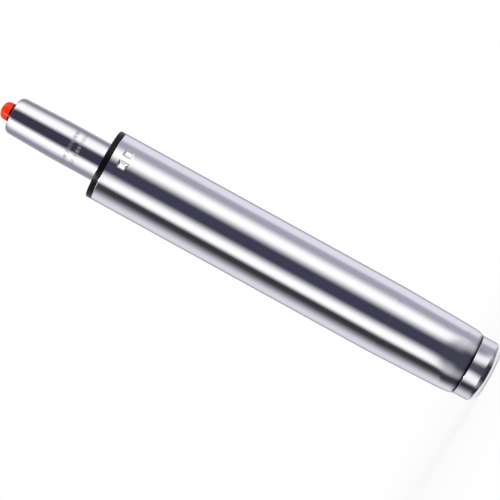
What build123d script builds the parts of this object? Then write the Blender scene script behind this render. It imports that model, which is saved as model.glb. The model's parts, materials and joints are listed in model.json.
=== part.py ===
from build123d import *
from math import cos, radians, sin, tan
import os

# A lockable gas spring in a chromed column tube, as it stands under a swivel chair.
# The tall axis is +Z, and the origin is at the centre of the bottom rim.

# Column tube
column_diameter = 50.0
column_wall = 2.0
column_top = 292.0
column_edge_chamfer = 0.5
taper_half_angle = 1 + 26 / 60 + 16 / 3600
base_taper_top = 78.0
base_taper_end = 30.0
nose_bend_height = 20.0
nose_bend_inset = 0.65
nose_end_inset = 1.85
nose_edge_radius = 0.4

# Dents pressed into the column tube, which hold the guide sleeve
dent_drop = 9.5
dent_length = 4.4
dent_width = 3.4
dent_depth = 0.9
dent_slope = 40.0
dent_spacing_angle = 22.2
dent_pair_angles = (-90.0, 90.0)
dent_wall_margin = 0.8

# Bottom cup
cup_height = 15.8
cup_ring_step = 0.2
cup_edge_width = 8.0
cup_edge_height = 6.0
cup_wall = 2.2
cup_spigot_height = 8.0
cup_recess_radius = 11.0
cup_recess_depth = 8.0
cup_recess_wall = 3.0
cup_plate_thickness = 3.5
cup_rim_thickness = 3.5
cup_bend_radius = 1.0

# Guide sleeve
sleeve_length = 88.0
collar_height = 4.0
collar_inset = 0.1
collar_edge_radius = 1.2
sleeve_bore_wall = 2.4
sleeve_skirt_wall = 1.8
sleeve_top_web = 3.0
sleeve_rib_count = 12
sleeve_rib_width = 1.6
sleeve_rib_gap = 6.0
sleeve_land_length = 20.0
sleeve_relief = 0.4
sleeve_lead = 0.8

# Thrust bearing
ball_diameter = 4.762
ball_count = 10
ball_pitch_radius = 8.5
race_outer_radius = 12.0
race_thickness = 2.5
race_groove_depth = 0.8
race_lower_bore_radius = 5.0
ball_clearance = 0.06
cage_thickness = 1.8
cage_radial_width = 6.0
cage_pocket_clearance = 0.1

# Piston rod and what is fixed on it
rod_diameter = 10.0
rod_stub_diameter = 8.0
rod_tip_height = 1.6
rod_tip_chamfer = 0.8
bumper_height = 10.5
bumper_outer_radius = 12.0
bumper_waist = 1.6
bumper_edge_radius = 1.5
washer_outer_radius = 9.5
washer_thickness = 1.5
clip_outer_radius = 7.6
clip_band_width = 2.4
clip_thickness = 1.2
clip_groove_depth = 0.9
clip_lug_width = 2.6
clip_opening = 6.4
piston_height = 12.0
piston_ring_height = 3.2
piston_ring_depth = 2.2
nut_across_flats = 13.0
nut_height = 6.5
nut_chamfer = 0.8
rod_end_proud = 1.5

# Gas cylinder
cylinder_diameter = 28.0
cylinder_wall = 1.5
cylinder_exposed = 69.6
cylinder_shoulder_radius = 4.2
cylinder_mouth_clearance = 0.7
cylinder_foot_radius = 2.5
cylinder_foot_opening = 8.0
seat_taper_length = 36.0
inner_tube_outer_radius = 11.3
inner_tube_wall = 0.8
stroke = 160.0

# Rod end of the cylinder
end_washer_thickness = 3.5
rod_seal_height = 8.0
seal_lip_depth = 4.5
seal_lip_width = 2.4
rod_guide_height = 10.0
guide_spigot_height = 6.0
guide_notch_width = 3.0
guide_notch_count = 4
stop_tube_wall = 4.2

# Valve
valve_body_height = 40.0
valve_spigot_height = 6.0
valve_neck_height = 6.0
valve_top_radius = 3.0
valve_port_radius = 1.1
valve_port_count = 4
chamber_radius = 3.6
pin_seal_radius = 4.3
pin_seal_height = 2.4
body_seal_height = 3.0
body_seal_depth = 2.0
body_seal_offset = 6.0
spigot_seal_depth = 1.3
spigot_seal_height = 1.8
seat_seal_width = 1.5
seat_seal_depth = 1.3
button_well_depth = 12.0
button_well_clearance = 0.5
pin_radius = 2.0
poppet_radius = 5.8
poppet_thickness = 2.2
poppet_cone_height = 1.3
poppet_gap = 0.1
valve_room = 3.2

# Release button
button_radius = 6.4
button_proud = 8.0
button_travel = 3.0
button_top_radius = 1.5
button_dome_height = 4.6
button_stop_gap = 0.5
pin_in_button = 8.0

# Clearances
running_clearance = 0.05
press_clearance = 0.03
loose_clearance = 0.4
seal_clearance = 0.05
seat_gap = 0.3

# Radii and heights that follow from the sizes above
taper_rate = tan(radians(taper_half_angle))
column_radius = column_diameter / 2
column_bore_radius = column_radius - column_wall
base_end_radius = column_radius - taper_rate * (base_taper_top - base_taper_end)
nose_bend_radius = base_end_radius - nose_bend_inset
nose_end_radius = base_end_radius - nose_end_inset
rod_radius = rod_diameter / 2
stub_radius = rod_stub_diameter / 2
ball_radius = ball_diameter / 2
cylinder_radius = cylinder_diameter / 2
cylinder_bore_radius = cylinder_radius - cylinder_wall
inner_tube_bore_radius = inner_tube_outer_radius - inner_tube_wall
button_well_radius = button_radius + button_well_clearance
cylinder_mouth_radius = button_radius + cylinder_mouth_clearance

plate_top = cup_recess_depth + cup_plate_thickness
lower_race_top = plate_top + race_thickness
ball_height = lower_race_top - race_groove_depth + ball_clearance + ball_radius
upper_race_bottom = ball_height + ball_radius + ball_clearance - race_groove_depth
upper_race_top = upper_race_bottom + race_thickness
bumper_top = upper_race_top + bumper_height
washer_bottom = cup_recess_depth - seat_gap - washer_thickness
clip_bottom = washer_bottom - running_clearance - clip_thickness

dent_height = column_top - dent_drop
dent_distance = column_radius * cos(radians(dent_spacing_angle / 2))
dent_offset = column_radius * sin(radians(dent_spacing_angle / 2))
collar_top = column_top + collar_height
sleeve_bottom = column_top - sleeve_length
sleeve_bore_radius = cylinder_radius + running_clearance

cylinder_bottom = bumper_top + seat_gap
cylinder_top = collar_top + cylinder_exposed
seat_taper_bottom = cylinder_top - seat_taper_length
end_washer_bottom = cylinder_bottom + cylinder_wall + press_clearance
rod_seal_bottom = end_washer_bottom + end_washer_thickness
rod_guide_bottom = rod_seal_bottom + rod_seal_height
rod_guide_shoulder = rod_guide_bottom + rod_guide_height
rod_guide_top = rod_guide_shoulder + guide_spigot_height

valve_top = cylinder_top - cylinder_wall - press_clearance
valve_bottom = valve_top - valve_body_height
valve_shoulder = valve_bottom + valve_spigot_height
valve_neck_top = valve_shoulder + valve_neck_height
button_well_bottom = valve_top - button_well_depth
button_bottom = button_well_bottom + button_stop_gap + button_travel
button_top = cylinder_top + button_proud
poppet_top = valve_bottom - poppet_gap
poppet_bottom = poppet_top - poppet_cone_height - poppet_thickness
rod_top = poppet_bottom - button_travel - valve_room
nut_bottom = rod_top - rod_end_proud - nut_height
piston_bottom = nut_bottom - piston_height
stop_tube_top = piston_bottom - stroke - seat_gap

os.makedirs("parts", exist_ok=True)


def save(name, builder):
    """Labels a finished piece and writes it under its own name."""
    builder.part.label = name
    export_step(builder.part, f"parts/{name}.step")


def seat_taper_radius(radius, height):
    """The radius of a wall of the gas cylinder at a height, where its seat narrows it."""
    return radius - taper_rate * max(0.0, height - seat_taper_bottom)


def ring(inner_radius, outer_radius, bottom, top, mode=Mode.ADD):
    """A plain ring about the tall axis."""
    with BuildSketch(Plane.XY.offset(bottom), mode=Mode.PRIVATE) as outline:
        Circle(outer_radius)
        Circle(inner_radius, mode=Mode.SUBTRACT)
    extrude(outline.sketch, amount=top - bottom, mode=mode)


def bore(radius, bottom, top):
    """A round hole along the tall axis."""
    with BuildSketch(Plane.XY.offset(bottom), mode=Mode.PRIVATE) as outline:
        Circle(radius)
    extrude(outline.sketch, amount=top - bottom, mode=Mode.SUBTRACT)


def profile(*points):
    """A turned shape, from the corners of its half section as radius and height."""
    with BuildSketch(Plane.XZ, mode=Mode.PRIVATE) as outline:
        with BuildLine():
            Polyline(*points, close=True)
        make_face()
    revolve(outline.sketch, axis=Axis.Z)


def o_ring(inner_radius, outer_radius, height):
    """A round-section seal that fills the room between two walls."""
    section_radius = (outer_radius - inner_radius) / 2
    with Locations((0, 0, height)):
        Torus(inner_radius + section_radius, section_radius)


def rim_edges(builder, level):
    """The round edges at the lowest or highest level of a piece, from the narrowest to the widest."""
    return builder.edges().filter_by(GeomType.CIRCLE).group_by(Axis.Z)[level].sort_by(SortBy.RADIUS)


def edges_at(builder, height):
    """The round edges at one height of a piece, from the narrowest to the widest."""
    round_edges = builder.edges().filter_by(GeomType.CIRCLE)
    return round_edges.filter_by_position(Axis.Z, height, height).sort_by(SortBy.RADIUS)


def punch_plane(punch, depth, outward):
    """A plane square to a punch's stroke, at a depth below the tube's face, with its x axis up the column."""
    pair_angle, offset = punch
    stroke = Vector(1, 0, 0).rotate(Axis.Z, pair_angle)
    across = Vector(0, 0, 1).cross(stroke)
    place = stroke * (dent_distance - depth) + across * offset + Vector(0, 0, dent_height)
    return Plane(origin=place, x_dir=(0, 0, 1), z_dir=stroke if outward else -stroke)


# The two punches of a pair move side by side, so both of its dents face the same way
punches = []
for pair_angle in dent_pair_angles:
    punches.append((pair_angle, -dent_offset))
    punches.append((pair_angle, dent_offset))


# Outer tube: straight above, tapered below for the hub of the base, rolled in at its foot
def column_wall_line(inset):
    """One face of the column wall from its top edge down, and its two ends."""
    straight = Line((column_radius - inset, column_top), (column_radius - inset, base_taper_top))
    taper = Line(straight @ 1, (base_end_radius - inset, base_taper_end))
    bend = TangentArc(taper @ 1, (nose_bend_radius - inset, nose_bend_height), tangent=taper % 1)
    nose = TangentArc(bend @ 1, (nose_end_radius - inset, cup_height), tangent=bend % 1)
    return straight @ 0, nose @ 1


with BuildPart() as outer_tube:
    with BuildSketch(Plane.XZ):
        with BuildLine():
            outside_top, outside_foot = column_wall_line(0)
            inside_top, inside_foot = column_wall_line(column_wall)
            Line(outside_top, inside_top)
            Line(outside_foot, inside_foot)
        make_face()
    revolve(axis=Axis.Z)
    chamfer(rim_edges(outer_tube, -1)[-1], column_edge_chamfer)
    fillet(rim_edges(outer_tube, 0)[-1], nose_edge_radius)
    for punch in punches:
        with BuildSketch(punch_plane(punch, column_wall / 2, outward=False)):
            Rectangle(dent_length + 2 * dent_wall_margin, dent_width + 2 * dent_wall_margin)
        extrude(amount=column_wall / 2 + dent_depth, taper=dent_slope / 2)
        with BuildSketch(punch_plane(punch, dent_depth, outward=True)):
            Rectangle(dent_length, dent_width)
        extrude(amount=2 * dent_depth, taper=-dent_slope, mode=Mode.SUBTRACT)
save("outer_tube", outer_tube)


# Bottom cup: a drawn steel cup with a wide soft lower edge, and its floor pressed up to carry the bearing
cup_ring_outer = nose_end_radius - cup_ring_step
cup_spigot_radius = nose_end_radius - column_wall - press_clearance
cup_spigot_top = cup_height + cup_spigot_height
cup_inside_radius = cup_spigot_radius - cup_wall
cup_plate_bore_radius = stub_radius + loose_clearance

with BuildPart() as bottom_cup:
    with BuildSketch(Plane.XZ):
        with BuildLine():
            edge_centre = (cup_ring_outer - cup_edge_width, cup_edge_height)
            edge = EllipticalCenterArc(edge_centre, cup_edge_width, cup_edge_height, start_angle=-90, arc_size=90)
            Polyline(
                edge @ 1,
                (cup_ring_outer, cup_height),
                (cup_spigot_radius, cup_height),
                (cup_spigot_radius, cup_spigot_top),
                (cup_inside_radius, cup_spigot_top),
                (cup_inside_radius, cup_rim_thickness),
                (cup_recess_radius + cup_recess_wall, cup_rim_thickness),
                (cup_recess_radius + cup_recess_wall, plate_top),
                (cup_plate_bore_radius, plate_top),
                (cup_plate_bore_radius, cup_recess_depth),
                (cup_recess_radius, cup_recess_depth),
                (cup_recess_radius, 0),
                edge @ 0,
            )
        make_face()
    revolve(axis=Axis.Z)
    fillet(rim_edges(bottom_cup, 0)[0], cup_bend_radius)
    fillet(edges_at(bottom_cup, plate_top)[-1], cup_bend_radius)
    chamfer(rim_edges(bottom_cup, -1)[-1], nose_edge_radius)
save("bottom_cup", bottom_cup)


# Guide sleeve: a moulded shell with a bore, a skirt and ribs between them, under a collar
skirt_outer_radius = column_bore_radius - running_clearance
skirt_inner_radius = skirt_outer_radius - sleeve_skirt_wall
bore_wall_radius = sleeve_bore_radius + sleeve_bore_wall
relief_top = collar_top - sleeve_land_length
relief_bottom = sleeve_bottom + sleeve_land_length
window_length = dent_length + 2 * (dent_wall_margin + seat_gap)
window_width = dent_width + 2 * (dent_wall_margin + seat_gap)
window_depth = column_radius - skirt_inner_radius + sleeve_skirt_wall

with BuildPart() as guide_sleeve:
    ring(sleeve_bore_radius, column_radius - collar_inset, column_top, collar_top)
    ring(sleeve_bore_radius, bore_wall_radius, sleeve_bottom, column_top)
    ring(skirt_inner_radius, skirt_outer_radius, sleeve_bottom, column_top)
    ring(sleeve_bore_radius, skirt_outer_radius, column_top - sleeve_top_web, column_top)
    with BuildSketch(Plane.XY.offset(sleeve_bottom + sleeve_rib_gap)):
        with PolarLocations((bore_wall_radius + skirt_inner_radius) / 2, sleeve_rib_count):
            Rectangle(skirt_inner_radius - bore_wall_radius + sleeve_skirt_wall, sleeve_rib_width)
    extrude(amount=sleeve_length - sleeve_rib_gap - sleeve_top_web / 2)
    bore(sleeve_bore_radius + sleeve_relief, relief_bottom, relief_top)
    for punch in punches:
        with BuildSketch(punch_plane(punch, window_depth, outward=True)):
            Rectangle(window_length, window_width)
        extrude(amount=window_depth, mode=Mode.SUBTRACT)
    fillet(rim_edges(guide_sleeve, -1)[-1], collar_edge_radius)
    chamfer(rim_edges(guide_sleeve, -1)[0], sleeve_lead)
    chamfer(rim_edges(guide_sleeve, 0)[-1], sleeve_lead)
    chamfer(rim_edges(guide_sleeve, 0)[0], sleeve_lead)
save("guide_sleeve", guide_sleeve)


# Thrust bearing: two grooved races with caged balls between them
groove_radius = ball_radius + ball_clearance

with BuildPart() as lower_race:
    ring(race_lower_bore_radius, race_outer_radius, plate_top, lower_race_top)
    with Locations((0, 0, ball_height)):
        Torus(ball_pitch_radius, groove_radius, mode=Mode.SUBTRACT)
save("lower_race", lower_race)

with BuildPart() as upper_race:
    ring(stub_radius + running_clearance, race_outer_radius, upper_race_bottom, upper_race_top)
    with Locations((0, 0, ball_height)):
        Torus(ball_pitch_radius, groove_radius, mode=Mode.SUBTRACT)
save("upper_race", upper_race)

with BuildPart() as bearing_balls:
    with Locations(Plane.XY.offset(ball_height)):
        with PolarLocations(ball_pitch_radius, ball_count):
            Sphere(ball_radius)
save("bearing_balls", bearing_balls)

cage_inner_radius = ball_pitch_radius - cage_radial_width / 2
cage_outer_radius = ball_pitch_radius + cage_radial_width / 2

with BuildPart() as ball_cage:
    ring(cage_inner_radius, cage_outer_radius, ball_height - cage_thickness / 2, ball_height + cage_thickness / 2)
    with Locations(Plane.XY.offset(ball_height)):
        with PolarLocations(ball_pitch_radius, ball_count):
            Cylinder(ball_radius + cage_pocket_clearance, 2 * cage_thickness, mode=Mode.SUBTRACT)
save("ball_cage", ball_cage)


# Piston rod: a turned bar with a stub at each end and a groove for the clip
groove_floor_radius = stub_radius - clip_groove_depth
clip_groove_bottom = clip_bottom - running_clearance
clip_groove_top = clip_bottom + clip_thickness + running_clearance

with BuildPart() as piston_rod:
    profile(
        (0, rod_tip_height),
        (stub_radius - rod_tip_chamfer, rod_tip_height),
        (stub_radius, rod_tip_height + rod_tip_chamfer),
        (stub_radius, clip_groove_bottom),
        (groove_floor_radius, clip_groove_bottom),
        (groove_floor_radius, clip_groove_top),
        (stub_radius, clip_groove_top),
        (stub_radius, upper_race_top),
        (rod_radius, upper_race_top),
        (rod_radius, piston_bottom),
        (stub_radius, piston_bottom),
        (stub_radius, rod_top - rod_tip_chamfer),
        (stub_radius - rod_tip_chamfer, rod_top),
        (0, rod_top),
    )
save("piston_rod", piston_rod)

bumper_bore_radius = rod_radius + running_clearance

with BuildPart() as rubber_bumper:
    with BuildSketch(Plane.XZ):
        with BuildLine():
            bumper_foot = Line((bumper_outer_radius, upper_race_top), (bumper_bore_radius, upper_race_top))
            bumper_bore = Line(bumper_foot @ 1, (bumper_bore_radius, bumper_top))
            bumper_head = Line(bumper_bore @ 1, (bumper_outer_radius, bumper_top))
            waist = (bumper_outer_radius - bumper_waist, (upper_race_top + bumper_top) / 2)
            ThreePointArc(bumper_head @ 1, waist, bumper_foot @ 0)
        make_face()
    revolve(axis=Axis.Z)
    fillet([rim_edges(rubber_bumper, 0)[-1], rim_edges(rubber_bumper, -1)[-1]], bumper_edge_radius)
save("rubber_bumper", rubber_bumper)

with BuildPart() as rod_washer:
    ring(stub_radius + loose_clearance, washer_outer_radius, washer_bottom, washer_bottom + washer_thickness)
save("rod_washer", rod_washer)

clip_inner_radius = clip_outer_radius - clip_band_width
lug_tip_radius = groove_floor_radius + running_clearance
lug_length = clip_inner_radius + clip_band_width / 2 - lug_tip_radius

with BuildPart() as retaining_clip:
    with BuildSketch(Plane.XY.offset(clip_bottom)):
        Circle(clip_outer_radius)
        Circle(clip_inner_radius, mode=Mode.SUBTRACT)
        with PolarLocations(lug_tip_radius + lug_length / 2, 3, start_angle=90, angular_range=270):
            Rectangle(lug_length, clip_lug_width)
        with Locations((clip_outer_radius, 0)):
            Rectangle(2 * (clip_outer_radius - lug_tip_radius), clip_opening, mode=Mode.SUBTRACT)
    extrude(amount=clip_thickness)
save("retaining_clip", retaining_clip)


# Piston, its ring and its nut, on the upper stub of the rod
piston_radius = inner_tube_bore_radius - running_clearance
piston_groove_radius = piston_radius - piston_ring_depth
piston_bore_radius = stub_radius + press_clearance
piston_ring_bottom = piston_bottom + (piston_height - piston_ring_height) / 2
piston_ring_top = piston_ring_bottom + piston_ring_height

with BuildPart() as piston:
    profile(
        (piston_bore_radius, piston_bottom),
        (piston_radius, piston_bottom),
        (piston_radius, piston_ring_bottom),
        (piston_groove_radius, piston_ring_bottom),
        (piston_groove_radius, piston_ring_top),
        (piston_radius, piston_ring_top),
        (piston_radius, nut_bottom),
        (piston_bore_radius, nut_bottom),
    )
    chamfer([rim_edges(piston, 0)[-1], rim_edges(piston, -1)[-1]], nut_chamfer)
save("piston", piston)

with BuildPart() as piston_ring:
    ring(
        piston_groove_radius + seal_clearance,
        piston_radius,
        piston_ring_bottom + seal_clearance,
        piston_ring_top - seal_clearance,
    )
save("piston_ring", piston_ring)

with BuildPart() as piston_nut:
    with BuildSketch(Plane.XY.offset(nut_bottom)):
        RegularPolygon(nut_across_flats / 2, 6, major_radius=False)
        Circle(piston_bore_radius, mode=Mode.SUBTRACT)
    extrude(amount=nut_height)
    chamfer(rim_edges(piston_nut, -1), nut_chamfer / 2)
save("piston_nut", piston_nut)


# Gas cylinder: a tube with both ends rolled in and a long taper that seats in the chair's plate
with BuildPart() as pressure_tube:
    profile(
        (cylinder_foot_opening, cylinder_bottom),
        (cylinder_radius, cylinder_bottom),
        (cylinder_radius, seat_taper_bottom),
        (seat_taper_radius(cylinder_radius, cylinder_top), cylinder_top),
        (cylinder_mouth_radius, cylinder_top),
        (cylinder_mouth_radius, cylinder_top - cylinder_wall),
        (seat_taper_radius(cylinder_bore_radius, cylinder_top - cylinder_wall), cylinder_top - cylinder_wall),
        (cylinder_bore_radius, seat_taper_bottom),
        (cylinder_bore_radius, cylinder_bottom + cylinder_wall),
        (cylinder_foot_opening, cylinder_bottom + cylinder_wall),
    )
    fillet(rim_edges(pressure_tube, -1)[-1], cylinder_shoulder_radius)
    fillet(rim_edges(pressure_tube, 0)[-1], cylinder_foot_radius)
    fillet(edges_at(pressure_tube, cylinder_top - cylinder_wall)[-1], cylinder_shoulder_radius - cylinder_wall)
    fillet(edges_at(pressure_tube, cylinder_bottom + cylinder_wall)[-1], cylinder_foot_radius - cylinder_wall)
save("pressure_tube", pressure_tube)

with BuildPart() as inner_tube:
    ring(
        inner_tube_bore_radius,
        inner_tube_outer_radius,
        rod_guide_shoulder + press_clearance,
        valve_shoulder - press_clearance,
    )
save("inner_tube", inner_tube)


# Rod end of the cylinder: end washer, lip seal, rod guide and stop tube
insert_radius = cylinder_bore_radius - running_clearance
foot_inset = cylinder_foot_radius - cylinder_wall

with BuildPart() as end_washer:
    ring(rod_radius + loose_clearance, insert_radius, end_washer_bottom, rod_seal_bottom)
    chamfer(rim_edges(end_washer, 0)[-1], foot_inset)
save("end_washer", end_washer)

with BuildPart() as rod_seal:
    ring(rod_radius + seal_clearance, insert_radius, rod_seal_bottom, rod_guide_bottom)
    lip_inner_radius = rod_radius + seal_clearance + seal_lip_width
    lip_outer_radius = insert_radius - seal_lip_width
    ring(lip_inner_radius, lip_outer_radius, rod_guide_bottom - seal_lip_depth, rod_guide_bottom, mode=Mode.SUBTRACT)
save("rod_seal", rod_seal)

guide_spigot_radius = inner_tube_bore_radius - running_clearance

with BuildPart() as rod_guide:
    profile(
        (rod_radius + running_clearance, rod_guide_bottom),
        (insert_radius, rod_guide_bottom),
        (insert_radius, rod_guide_shoulder),
        (guide_spigot_radius, rod_guide_shoulder),
        (guide_spigot_radius, rod_guide_top),
        (rod_radius + running_clearance, rod_guide_top),
    )
    with BuildSketch(Plane.XY.offset(rod_guide_top)):
        with PolarLocations(insert_radius, guide_notch_count):
            Rectangle(rod_radius, guide_notch_width)
    extrude(amount=-guide_spigot_height - guide_notch_width, mode=Mode.SUBTRACT)
save("rod_guide", rod_guide)

stop_tube_outer_radius = guide_spigot_radius - loose_clearance

with BuildPart() as stop_tube:
    ring(stop_tube_outer_radius - stop_tube_wall, stop_tube_outer_radius, rod_guide_top, stop_tube_top)
save("stop_tube", stop_tube)


# Valve body: a stepped plug that fills the tapered end and holds the release pin
spigot_radius = inner_tube_bore_radius - running_clearance
neck_radius = inner_tube_outer_radius
plug_base_radius = seat_taper_radius(cylinder_bore_radius, valve_neck_top) - running_clearance
plug_top_radius = seat_taper_radius(cylinder_bore_radius, valve_top) - running_clearance
body_seal_bottom = valve_neck_top + body_seal_offset
body_seal_middle = body_seal_bottom + body_seal_height / 2
body_wall_radius = seat_taper_radius(cylinder_bore_radius, body_seal_middle)
body_groove_radius = body_wall_radius - body_seal_depth
spigot_seal_middle = (valve_bottom + valve_shoulder) / 2
spigot_groove_radius = spigot_radius - spigot_seal_depth
pin_seal_top = valve_neck_top + pin_seal_height
seat_seal_inner = chamber_radius + seat_seal_depth / 2
seat_seal_outer = seat_seal_inner + seat_seal_width
port_height = (valve_shoulder + valve_neck_top) / 2

with BuildPart() as valve_body:
    profile(
        (0, valve_bottom),
        (spigot_radius, valve_bottom),
        (spigot_radius, valve_shoulder),
        (neck_radius, valve_shoulder),
        (neck_radius, valve_neck_top),
        (plug_base_radius, valve_neck_top),
        (plug_top_radius, valve_top),
        (0, valve_top),
    )
    fillet(rim_edges(valve_body, -1), valve_top_radius)
    bore(button_well_radius, button_well_bottom, valve_top)
    bore(pin_radius + running_clearance, valve_bottom, button_well_bottom)
    bore(chamber_radius, valve_bottom, valve_neck_top)
    bore(pin_seal_radius, valve_neck_top, pin_seal_top)
    ring(body_groove_radius, column_radius, body_seal_bottom, body_seal_bottom + body_seal_height, mode=Mode.SUBTRACT)
    spigot_seal_bottom = spigot_seal_middle - spigot_seal_height / 2
    ring(
        spigot_groove_radius,
        column_radius,
        spigot_seal_bottom,
        spigot_seal_bottom + spigot_seal_height,
        mode=Mode.SUBTRACT,
    )
    ring(seat_seal_inner, seat_seal_outer, valve_bottom, valve_bottom + seat_seal_depth, mode=Mode.SUBTRACT)
    with PolarLocations(0, valve_port_count):
        with Locations(Location((neck_radius / 2, 0, port_height), (0, 90, 0))):
            Cylinder(valve_port_radius, neck_radius + valve_port_radius, mode=Mode.SUBTRACT)
save("valve_body", valve_body)

with BuildPart() as body_seals:
    o_ring(body_groove_radius + seal_clearance, body_wall_radius - seal_clearance, body_seal_middle)
    o_ring(
        spigot_groove_radius + seal_clearance,
        inner_tube_bore_radius - seal_clearance,
        spigot_seal_middle,
    )
save("body_seals", body_seals)

with BuildPart() as pin_seal:
    o_ring(pin_radius + seal_clearance, pin_seal_radius - seal_clearance, (valve_neck_top + pin_seal_top) / 2)
save("pin_seal", pin_seal)

with BuildPart() as seat_seal:
    ring(
        seat_seal_inner + press_clearance,
        seat_seal_outer - press_clearance,
        valve_bottom,
        valve_bottom + seat_seal_depth - press_clearance,
    )
save("seat_seal", seat_seal)


# Valve pin and release button
pin_top = button_bottom + pin_in_button

with BuildPart() as valve_pin:
    profile(
        (0, poppet_bottom),
        (poppet_radius, poppet_bottom),
        (poppet_radius, poppet_bottom + poppet_thickness),
        (pin_radius + poppet_cone_height, poppet_top),
        (pin_radius, poppet_top),
        (pin_radius, pin_top),
        (0, pin_top),
    )
save("valve_pin", valve_pin)

with BuildPart() as release_button:
    with BuildSketch(Plane.XZ):
        with BuildLine():
            dome_centre = (button_top_radius, button_top - button_dome_height)
            dome_width = button_radius - button_top_radius
            dome = EllipticalCenterArc(dome_centre, dome_width, button_dome_height, start_angle=0, arc_size=90)
            Polyline(dome @ 1, (0, button_top), (0, button_bottom), (button_radius, button_bottom), dome @ 0)
        make_face()
    revolve(axis=Axis.Z)
    bore(pin_radius + press_clearance, button_bottom, pin_top + press_clearance)
save("release_button", release_button)
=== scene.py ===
import json
from functools import partial
from math import cos, pi, radians, sin, tan

import bpy
import numpy as np
from bpy.props import FloatProperty, FloatVectorProperty, PointerProperty
from bpy.types import Operator, Panel, PropertyGroup
from mathutils import Matrix, Vector

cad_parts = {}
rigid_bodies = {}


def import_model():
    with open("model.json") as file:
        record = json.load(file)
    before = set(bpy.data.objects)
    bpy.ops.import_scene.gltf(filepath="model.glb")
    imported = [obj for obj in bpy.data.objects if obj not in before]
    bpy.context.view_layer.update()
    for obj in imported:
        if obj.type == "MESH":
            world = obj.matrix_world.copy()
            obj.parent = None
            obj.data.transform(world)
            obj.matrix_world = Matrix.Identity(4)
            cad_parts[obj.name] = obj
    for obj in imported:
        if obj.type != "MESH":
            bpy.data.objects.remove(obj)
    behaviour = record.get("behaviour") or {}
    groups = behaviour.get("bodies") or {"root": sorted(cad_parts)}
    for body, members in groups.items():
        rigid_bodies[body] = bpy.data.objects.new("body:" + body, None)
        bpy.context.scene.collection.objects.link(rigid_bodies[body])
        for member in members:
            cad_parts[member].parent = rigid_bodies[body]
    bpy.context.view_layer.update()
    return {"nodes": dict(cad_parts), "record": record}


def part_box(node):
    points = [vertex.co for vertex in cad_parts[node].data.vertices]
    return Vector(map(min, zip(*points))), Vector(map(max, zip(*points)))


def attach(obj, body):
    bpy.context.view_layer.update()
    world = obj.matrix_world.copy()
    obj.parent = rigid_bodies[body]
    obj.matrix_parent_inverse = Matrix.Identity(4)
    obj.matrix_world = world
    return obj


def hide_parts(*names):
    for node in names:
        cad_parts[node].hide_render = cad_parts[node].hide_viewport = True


bl_info = {
    "name": "Lockable gas spring",
    "version": (1, 0, 0),
    "blender": (4, 5, 0),
    "location": "View3D > Sidebar > Gas spring",
    "description": "Makes the shown surfaces and finishes of a chair's gas spring round its packed model",
    "category": "Object",
}

for leftover in list(bpy.data.objects):
    bpy.data.objects.remove(leftover)
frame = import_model()

MM = 0.001
UP = Vector((0, 0, 1))
# How finely surfaces are divided: columns all round, and steps along an arc of the half section.
COLUMNS = 144
COLUMN_TUBE_COLUMNS = 120
BUTTON_COLUMNS = 96
FLOOR_COLUMNS = 96
ARC_STEPS = 13
BUTTON_ARC_STEPS = 9
FOOT_STEPS = 9
TAPER_ROWS = 7
# The rows and columns of points that a dent gets, and half the angle that the columns span.
DENT_ROWS = 41
DENT_COLUMNS = 45
DENT_SPAN = radians(8)
# The smallest rounding of an edge that is only broken.
BROKEN_EDGE = 0.1 * MM
# Outline points that lie closer together than this are one.
SAME_POINT = 0.001 * MM


def linear(hex_colour):
    """The linear red, green and blue of an sRGB hex colour: ((c + 0.055) / 1.055) to the power 2.4."""
    channels = [int(hex_colour[start:start + 2], 16) / 255 for start in (1, 3, 5)]
    return [c / 12.92 if c <= 0.04045 else ((c + 0.055) / 1.055) ** 2.4 for c in channels]


def length(label, description, metres):
    """A length that the sidebar shows, in metres inside the file."""
    return FloatProperty(name=label, description=description, default=metres, min=0.0, unit="LENGTH",
                         precision=5)


def turn(label, description, degrees_wide):
    """An angle that the sidebar shows in degrees."""
    return FloatProperty(name=label, description=description, default=radians(degrees_wide),
                         subtype="ANGLE")


def share(label, description, amount):
    """A number from 0 to 1."""
    return FloatProperty(name=label, description=description, default=amount, min=0.0, max=1.0,
                         subtype="FACTOR")


def colour(label, description, hex_colour):
    """A colour that the sidebar shows, written as sRGB hex."""
    return FloatVectorProperty(name=label, description=description, default=linear(hex_colour), size=3,
                               min=0.0, max=1.0, subtype="COLOR")


tube_low, tube_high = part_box("outer_tube")
cup_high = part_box("bottom_cup")[1]
cylinder_low, cylinder_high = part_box("pressure_tube")
button_low, button_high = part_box("release_button")


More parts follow.
